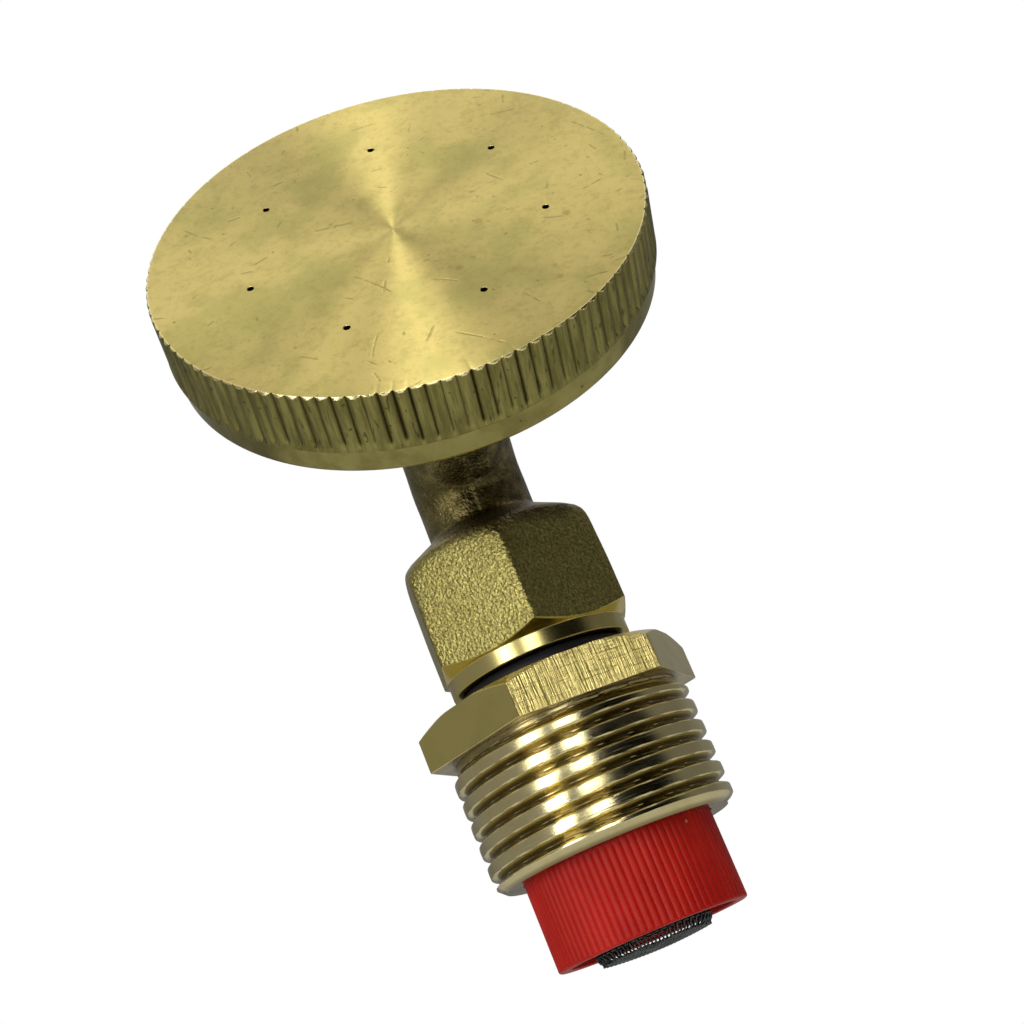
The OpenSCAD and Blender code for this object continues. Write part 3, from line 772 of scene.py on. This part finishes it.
def make_strainer():
    """A cup of woven wire: uprights and hoops for its wall, and two crossed sets of wires for its floor."""
    wire, lattice, weave = 0.08, 0.34, 0.07
    uprights = 90
    wall_r = MESH_R - wire - weave
    floor_z = MESH_END + wire + weave
    made = []
    heel, dome = 0.6, 0.3
    for k in range(uprights):
        angle = 2 * math.pi * k / uprights
        sign = 1 if k % 2 else -1
        bend = [(wall_r - heel + heel * math.cos(b), floor_z + dome + heel + heel * math.sin(b))
                for b in np.linspace(-math.pi / 2, 0, 7)]
        rise = [(wall_r, z) for z in np.arange(floor_z + dome + heel + 0.05, RECESS_Z - 0.2, 0.075)]
        path = [(r + sign * weave * math.cos(math.pi * (z - floor_z) / lattice), z) for r, z in bend + rise]
        made.append(tube([(r * math.cos(angle), r * math.sin(angle), z) for r, z in path], wire, 5))
    for row in range(3, int((RECESS_Z - 0.2 - floor_z) / lattice)):
        sign = 1 if row % 2 else -1
        around = even_angles(uprights * 4)
        r = wall_r - sign * weave * np.cos(around * uprights / 2)
        hoop = np.stack((r * np.cos(around), r * np.sin(around), 0 * r + floor_z + row * lattice), -1)
        made.append(tube(hoop, wire, 5, closed=True))
    count = int(MESH_R / lattice)
    for k in range(-count, count + 1):
        offset = (k + 0.5) * lattice
        if abs(offset) > MESH_R - 0.45:
            continue
        half = math.sqrt((MESH_R - 0.3) ** 2 - offset ** 2)
        reach = np.arange(-half, half, 0.075)
        sag = dome * (reach ** 2 + offset ** 2) / wall_r ** 2
        sign = 1 if k % 2 else -1
        lift = floor_z + sag + sign * weave * np.cos(math.pi * (reach / lattice - 0.5))
        made.append(tube(np.stack((reach, 0 * reach + offset, lift), -1), wire, 5))
        lift = floor_z + sag - sign * weave * np.cos(math.pi * (reach / lattice - 0.5))
        made.append(tube(np.stack((0 * reach + offset, reach, lift), -1), wire, 5))
    rim = outline([(MESH_R - 0.4, RECESS_Z - 0.33, 0.08), (RECESS_R - 0.2, RECESS_Z - 0.33, 0.08),
                   (RECESS_R - 0.2, RECESS_Z - 0.02, 0.08), (MESH_R - 0.4, RECESS_Z - 0.02, 0.08)],
                  lambda at: 0.5)
    a = even_angles(120)
    rows = np.stack((rim[:, :1] * np.cos(a), rim[:, :1] * np.sin(a), rim[:, 1:] + 0 * a), -1)
    made.append((rows.reshape(-1, 3), ring_faces(len(rim), len(a), True)))
    finish_piece(wires("strainer_mesh", made), "inlet", "strainer_mesh", "steel_mesh", MESH_STEEL)


# ------------------------------------------------------------------ springs
def coil(turns, low_r, high_r, low, high):
    """A spring's centre line, which climbs more slowly at its ends."""
    t = np.linspace(0, 1, int(turns * 40))
    rise = ramp_up(t, 0, 1) * 0.35 + t * 0.65
    r, a = low_r + (high_r - low_r) * t, 2 * math.pi * turns * t
    return np.stack((r * np.cos(a), r * np.sin(a), low + (high - low) * rise), -1)


def make_springs():
    wire_r = 0.25
    low, high = FLOOR_S + 0.01, LID_S - 2.45
    line = coil(turns=3, low_r=7, high_r=4.6, low=low + wire_r, high=high - wire_r)
    vent = wires("plunger_spring", [tube(line, wire_r, 10)], HEAD)
    finish_piece(vent, "head", "plunger_spring", "spring_steel", SPRING_STEEL)
    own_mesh(vent)
    foot, head = -12.4, -7.4
    line = coil(turns=5, low_r=2.1, high_r=2.1, low=foot + wire_r, high=head - wire_r)
    check = wires("check_spring", [tube(line, wire_r, 10)])
    finish_piece(check, "inlet", "check_spring", "spring_steel", SPRING_STEEL)
    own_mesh(check)


# ------------------------------------------------------------------ pieces kept from the CAD
KEPT = {
    IVORY: ["spring_guide", "thrust_washer", "check_poppet"],
    RUBBER: ["cage_oring", "spigot_oring", "cap_gasket", "plunger_seal", "poppet_seal"],
    SPRING_STEEL: ["spigot_clip", "strainer_ring"],
    VALVE_BRASS: ["valve_seat", "pressure_plate", "vent_plunger"],
    FIBRE: [f"fibre_disc_{k}" for k in range(1, 6)],
}


def finish_kept():
    """Their own materials on the small inner pieces, whose CAD shape is already right."""
    for material, names in KEPT.items():
        for name in names:
            slots = frame["nodes"][name].data.materials
            slots.clear()
            slots.append(material)


# ------------------------------------------------------------------ studio
def toward(azimuth, elevation):
    """Unit vector to that azimuth from +X and that height above the horizon, in degrees."""
    a, e = math.radians(azimuth), math.radians(elevation)
    return Vector((math.cos(a) * math.cos(e), math.sin(a) * math.cos(e), math.sin(e)))


def make_sky():
    """A white surround to look at, and a room with brighter and darker parts to light the metal."""
    world = bpy.data.worlds.new("studio")
    bpy.context.scene.world = world
    world.use_nodes = True
    tree = world.node_tree
    new, link = tree.nodes.new, tree.links.new
    room = tree.nodes["Background"]
    direction = new("ShaderNodeTexCoord").outputs["Generated"]
    total = None
    #         azimuth, elevation, inner, outer, strength
    lobes = [(85, 42, 15, 42, 0.22), (55, 0, 12, 34, 0.06), (180, 20, 20, 70, 0.10),
             (-62, 0, 31, 50, -0.17), (0, 90, 25, 75, 0.25)]
    for azimuth, elevation, inner, outer, strength in lobes:
        dot = new("ShaderNodeVectorMath")
        dot.operation = "DOT_PRODUCT"
        link(direction, dot.inputs[0])
        dot.inputs[1].default_value = toward(azimuth, elevation)
        fade = new("ShaderNodeMapRange")
        fade.interpolation_type = "SMOOTHSTEP"
        link(dot.outputs["Value"], fade.inputs["Value"])
        fade.inputs["From Min"].default_value = math.cos(math.radians(outer))
        fade.inputs["From Max"].default_value = math.cos(math.radians(inner))
        fade.inputs["To Max"].default_value = strength
        add = new("ShaderNodeMath")
        add.operation = "ADD"
        link(fade.outputs[0], add.inputs[0])
        if total:
            link(total, add.inputs[1])
        else:
            add.inputs[1].default_value = 0.17
        total = add.outputs[0]
    link(total, room.inputs["Strength"])
    room.inputs["Color"].default_value = (1, 0.99, 0.97, 1)
    backdrop = new("ShaderNodeBackground")
    backdrop.inputs["Color"].default_value = (1, 1, 1, 1)
    mix = new("ShaderNodeMixShader")
    link(new("ShaderNodeLightPath").outputs["Is Camera Ray"], mix.inputs[0])
    link(room.outputs[0], mix.inputs[1])
    link(backdrop.outputs[0], mix.inputs[2])
    link(mix.outputs[0], tree.nodes["World Output"].inputs["Surface"])


def softbox(name, azimuth, elevation, distance, width, height, radiance, aim=(0, -0.008, 0.015)):
    """A rectangular light that looks at aim and is as bright as radiance all over."""
    data = bpy.data.lights.new(name, "AREA")
    data.shape, data.size, data.size_y = "RECTANGLE", width, height
    data.energy = radiance * math.pi * width * height
    lamp = bpy.data.objects.new(name, data)
    away = toward(azimuth, elevation)
    turned = away.to_track_quat("Z", "Y").to_matrix().to_4x4()
    lamp.matrix_world = Matrix.Translation(Vector(aim) + away * distance) @ turned
    lamp.visible_camera = False
    bpy.context.scene.collection.objects.link(lamp)


def make_floor():
    """A wide pale floor below the vent."""
    look = Look("pale_floor", (0.78, 0.78, 0.77), 0.0, 0.7)
    look.set(Base_Color=look.pick(look.noise(80, 3), (0.80, 0.80, 0.79), (0.76, 0.76, 0.75)))
    a = even_angles(96)
    rows = np.stack([np.stack((r * np.cos(a), r * np.sin(a), z + 0 * a), -1)
                     for r, z in ((350, -79), (350, -75))])
    floor = skin("floor", rows, loop=False)
    floor.data.materials.append(look.material)


make_camera()
make_sky()
softbox("key", -131, 10, 0.5, 0.16, 0.3, 5.5)
softbox("front", -96, 10, 0.5, 0.16, 0.26, 4.2)
softbox("crown", -87, 45, 0.45, 0.10, 0.14, 5.2)
softbox("top", 70, 84, 0.5, 0.55, 0.45, 0.54)
make_floor()
bpy.context.scene.view_settings.view_transform = "Standard"

make_cap()
make_elbow()
make_adapter()
make_swivel_ring()
make_cage()
make_strainer()
make_springs()
finish_kept()
